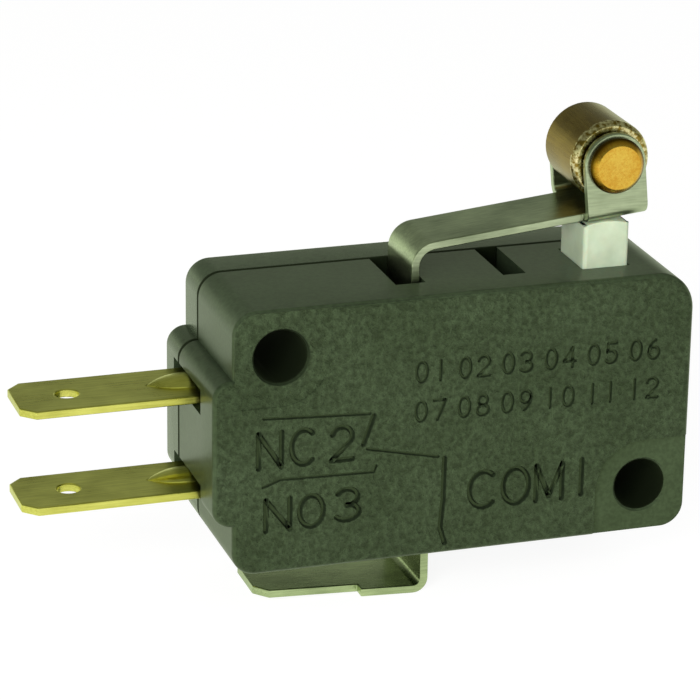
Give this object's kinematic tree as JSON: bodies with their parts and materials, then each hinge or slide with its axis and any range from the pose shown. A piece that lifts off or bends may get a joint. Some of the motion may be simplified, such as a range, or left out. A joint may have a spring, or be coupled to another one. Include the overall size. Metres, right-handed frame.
{
  "type": "roller lever snap-action switch",
  "caption": "Miniature snap-action switch: moulded case with two mounting holes, push-on tabs and a sprung steel lever whose roller pushes the plunger when a cam passes.",
  "frame": {"origin": "centre of the lower mounting hole, beside the plunger end, at half the case thickness", "axes": "+X from the terminal end to the plunger end, +Y from the marked front face to the back cover, +Z from the mounting side to the lever"},
  "size_m": [0.0391, 0.0104, 0.0279],
  "materials": {
    "moulded_phenolic": "moulded, fine grain",
    "white_plastic": "moulded, smooth",
    "spring_steel": "rolled, fine brushing",
    "bronze": "turned, worn",
    "brass": "polished",
    "terminal_brass": "rolled strip, slightly tarnished",
    "tinned_brass": "bright tin plate",
    "contact_silver": "silver, polished",
    "blade_copper": "rolled spring strip"
  },
  "bodies": {
    "housing": {"case": "moulded_phenolic", "cover": "moulded_phenolic", "nc_terminal": "terminal_brass", "no_terminal": "terminal_brass", "com_terminal": "tinned_brass", "nc_contact": "contact_silver", "no_contact": "contact_silver", "blade_rivet": "brass"},
    "lever_arm": {"lever": "spring_steel", "roller_pin": "brass"},
    "roller_wheel": {"roller": "bronze"},
    "push_button": {"plunger": "white_plastic"},
    "contact_arm": {"snap_blade": "blade_copper", "moving_contact": "contact_silver"}
  },
  "joints": [
    {"name": "lever_pivot", "type": "hinge", "parent": "housing", "child": "lever_arm", "pos_m": [-0.0134, -0.00025, 0.0123], "axis": [0, 1, 0], "range_deg": [0, 8], "stiffness_Nm_per_rad": 0.05, "springref_deg": -5.16},
    {"name": "roller_spin", "type": "hinge", "parent": "lever_arm", "child": "roller_wheel", "pos_m": [-0.0017, -0.00025, 0.0193], "axis": [0, 1, 0], "continuous": true},
    {"name": "plunger_slide", "type": "slide", "parent": "housing", "child": "push_button", "axis": [0, 0, -1], "range_m": [0, 0.0016], "deforming": ["snap_blade"]},
    {"name": "blade_swing", "type": "hinge", "parent": "housing", "child": "contact_arm", "pos_m": [0.00015, 0.0004, 0.00563], "axis": [0, -1, 0], "range_deg": [0, 1.62]}
  ],
  "couplings": [
    {"joint": "plunger_slide", "follows": "lever_pivot", "m_per_rad": 0.0114},
    {"joint": "blade_swing", "follows": "lever_pivot", "ratio": 0.2}
  ]
}
